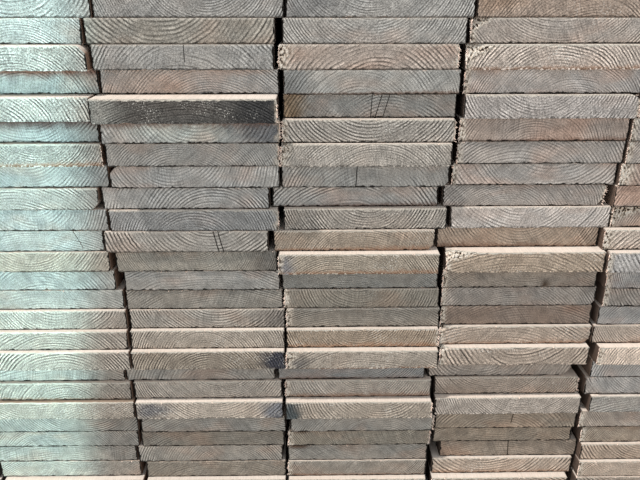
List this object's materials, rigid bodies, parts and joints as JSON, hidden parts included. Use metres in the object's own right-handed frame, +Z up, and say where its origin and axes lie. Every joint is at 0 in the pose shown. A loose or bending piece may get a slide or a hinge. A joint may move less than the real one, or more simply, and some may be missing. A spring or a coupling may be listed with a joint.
{
  "type": "lumber stack",
  "caption": "Close-laid stack of rough-sawn, weathered softwood boards in flat layers, with uneven weathered ends at the front; lies on a level floor.",
  "frame": {"origin": "middle of the stack's base, on the floor", "axes": "+X across the boards of a layer, +Y along the boards with the pictured ends at -Y, +Z up"},
  "size_m": [0.8654, 2.464, 0.475],
  "materials": {
    "boards": "rough-sawn, weathered"
  },
  "bodies": {
    "root": {"layer_01": "boards", "layer_02": "boards", "layer_03": "boards", "layer_04": "boards", "layer_05": "boards", "layer_06": "boards", "layer_07": "boards", "layer_08": "boards", "layer_09": "boards", "layer_10": "boards", "layer_11": "boards", "layer_12": "boards", "layer_13": "boards", "layer_14": "boards", "layer_15": "boards", "layer_16": "boards", "layer_17": "boards", "layer_18": "boards", "layer_19": "boards", "layer_20": "boards", "layer_21": "boards", "layer_22": "boards", "layer_23": "boards", "layer_24": "boards", "layer_25": "boards"}
  },
  "joints": []
}
